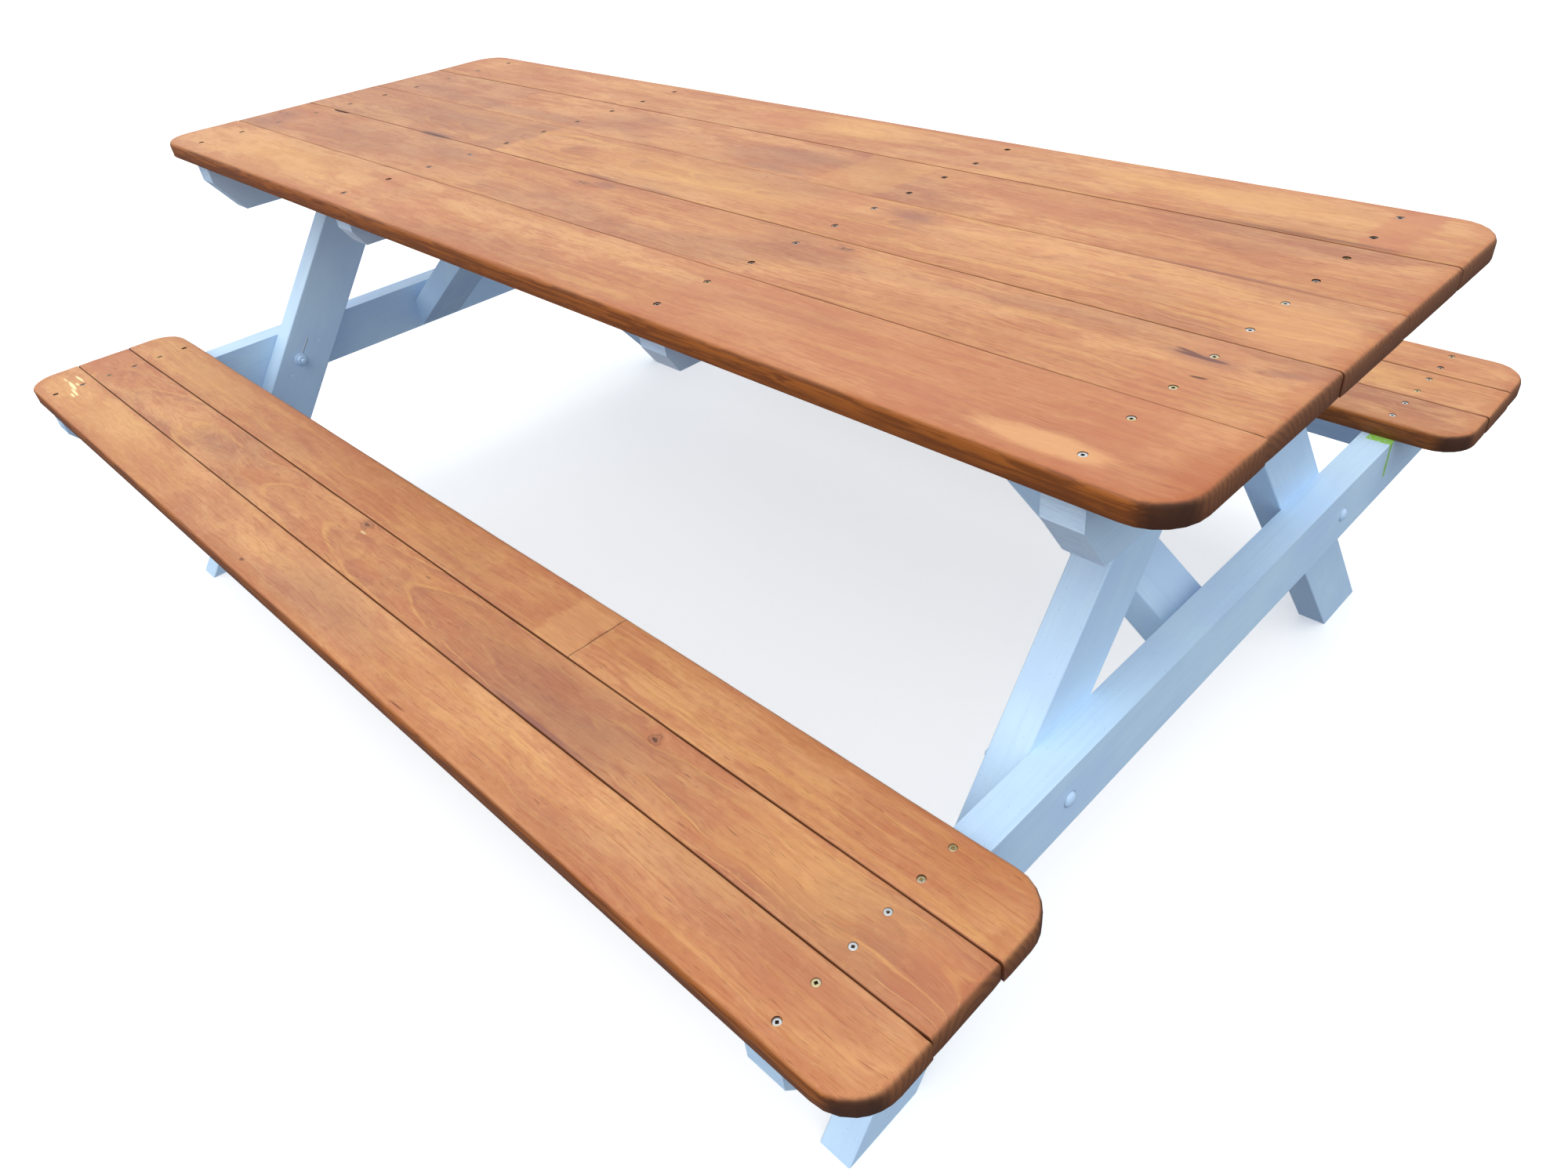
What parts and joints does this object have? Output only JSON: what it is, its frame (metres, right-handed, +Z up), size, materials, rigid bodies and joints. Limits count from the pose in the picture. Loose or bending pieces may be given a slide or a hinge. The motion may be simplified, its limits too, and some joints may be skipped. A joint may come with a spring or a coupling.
{
  "type": "picnic table",
  "caption": "Wooden picnic table with stained top and attached benches on a painted A-frame, bolted and screwed together.",
  "frame": {"origin": "on the floor under the middle of the table", "axes": "+X along the boards, +Y across the table towards the far bench, +Z up"},
  "size_m": [2.05, 1.486, 0.75],
  "materials": {
    "stained_wood": "satin translucent stain",
    "painted_wood": "satin paint",
    "painted_steel": "satin paint",
    "zinc_steel": "zinc plated"
  },
  "bodies": {
    "root": {"table_board_1": "stained_wood", "table_board_2": "stained_wood", "table_board_3": "stained_wood", "table_board_4": "stained_wood", "table_board_5": "stained_wood", "near_seat_board_1": "stained_wood", "near_seat_board_2": "stained_wood", "near_seat_board_3": "stained_wood", "far_seat_board_1": "stained_wood", "far_seat_board_2": "stained_wood", "far_seat_board_3": "stained_wood", "end_cleat_left": "painted_wood", "end_cleat_right": "painted_wood", "middle_cleat_left": "painted_wood", "middle_cleat_right": "painted_wood", "leg_left_near": "painted_wood", "leg_left_far": "painted_wood", "leg_right_near": "painted_wood", "leg_right_far": "painted_wood", "seat_beam_left": "painted_wood", "seat_beam_right": "painted_wood", "seat_rail_near": "painted_wood", "seat_rail_far": "painted_wood", "brace_left": "painted_wood", "brace_right": "painted_wood", "table_screws_left_end": "zinc_steel", "table_screws_left_middle": "zinc_steel", "table_screws_right_middle": "zinc_steel", "table_screws_right_end": "zinc_steel", "near_seat_screws_left": "zinc_steel", "near_seat_screws_right": "zinc_steel", "far_seat_screws_left": "zinc_steel", "far_seat_screws_right": "zinc_steel", "leg_screws": "painted_steel", "rail_screws": "painted_steel", "brace_high_screws": "painted_steel", "brace_toe_screws": "painted_steel", "beam_bolts": "painted_steel", "beam_washers": "painted_steel", "beam_nuts": "painted_steel", "cleat_bolts": "painted_steel", "cleat_washers": "painted_steel", "cleat_nuts": "painted_steel"}
  },
  "joints": []
}
